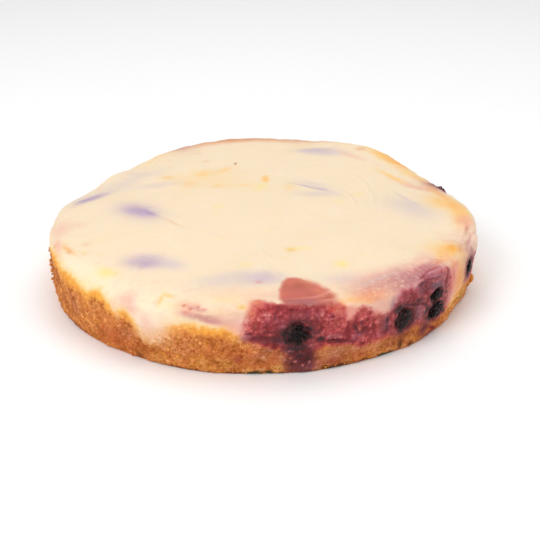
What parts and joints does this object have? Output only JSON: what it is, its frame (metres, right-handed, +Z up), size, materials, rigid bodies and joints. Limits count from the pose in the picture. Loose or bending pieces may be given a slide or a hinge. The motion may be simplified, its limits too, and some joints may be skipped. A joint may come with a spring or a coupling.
{
  "type": "berry kuchen",
  "caption": "Round uncut berry kuchen: browned cake base, cooked berry layer breaking out at the side, set cream topping and dark berries.",
  "frame": {"origin": "centre of the cake's round foot, where it rests", "axes": "+Z up, out of the cream topping; -Y towards the side where the berry layer breaks out; +X to the right as seen from there"},
  "size_m": [0.254, 0.2581, 0.0432],
  "materials": {
    "browned_crust": "golden-brown baked cake crust, crumbly and matt",
    "cooked_berries": "moist, marbled red and purple cooked berries",
    "set_cream": "smooth pale yellow set cream with a soft sheen and lilac and orange stains",
    "dark_berry": "near-black, moist cooked berry"
  },
  "bodies": {
    "root": {"cake_base": "browned_crust", "berry_layer": "cooked_berries", "cream_topping": "set_cream", "berry_front": "dark_berry", "berry_right_front": "dark_berry", "berry_twin_low": "dark_berry", "berry_twin_high": "dark_berry", "berry_right_edge": "dark_berry", "berry_back_right": "dark_berry", "berry_back": "dark_berry", "berry_back_left": "dark_berry"}
  },
  "joints": []
}
